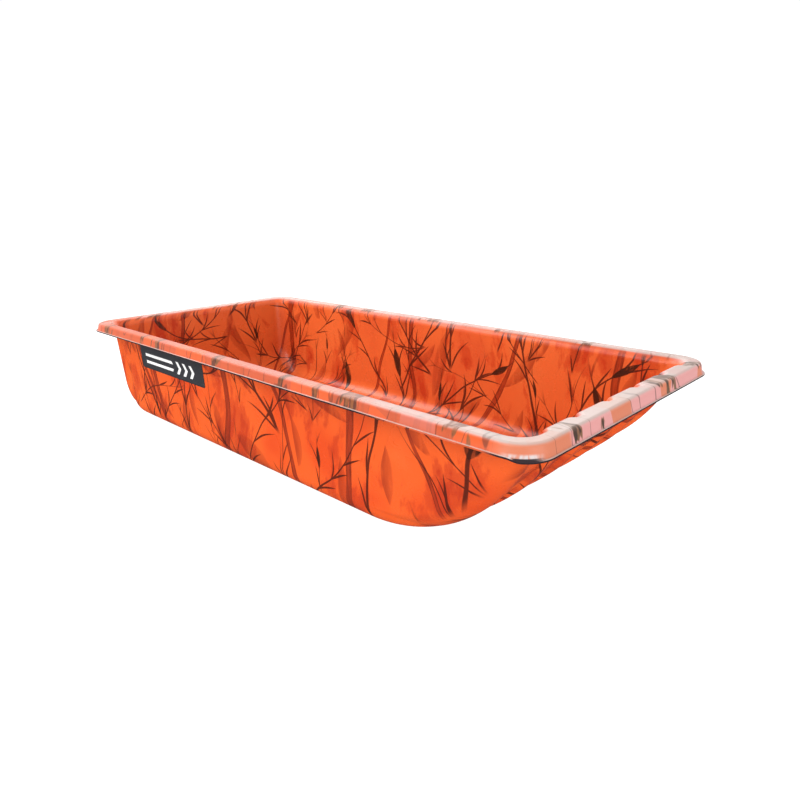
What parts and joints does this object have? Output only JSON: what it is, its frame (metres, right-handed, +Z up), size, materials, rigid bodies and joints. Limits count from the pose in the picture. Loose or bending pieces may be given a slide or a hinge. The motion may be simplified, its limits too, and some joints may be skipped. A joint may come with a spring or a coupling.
{
  "type": "ice fishing sled",
  "caption": "Long open plastic cargo sled with a turned-down rim, a curved-up nose and moulded runners underneath, and a sticker on one side.",
  "frame": {"origin": "centre of the sled's outline at the level of the runners' lowest faces", "axes": "+X towards the curved-up nose, +Y towards the sled's left, +Z up; the sticker is on the right side, -Y"},
  "size_m": [1.3716, 0.635, 0.254],
  "materials": {
    "tub_plastic": "glossy, orange with a print of dark stems, blades and soft blotches",
    "sticker_film": "satin charcoal film"
  },
  "bodies": {
    "root": {"tub": "tub_plastic", "side_sticker": "sticker_film"}
  },
  "joints": []
}
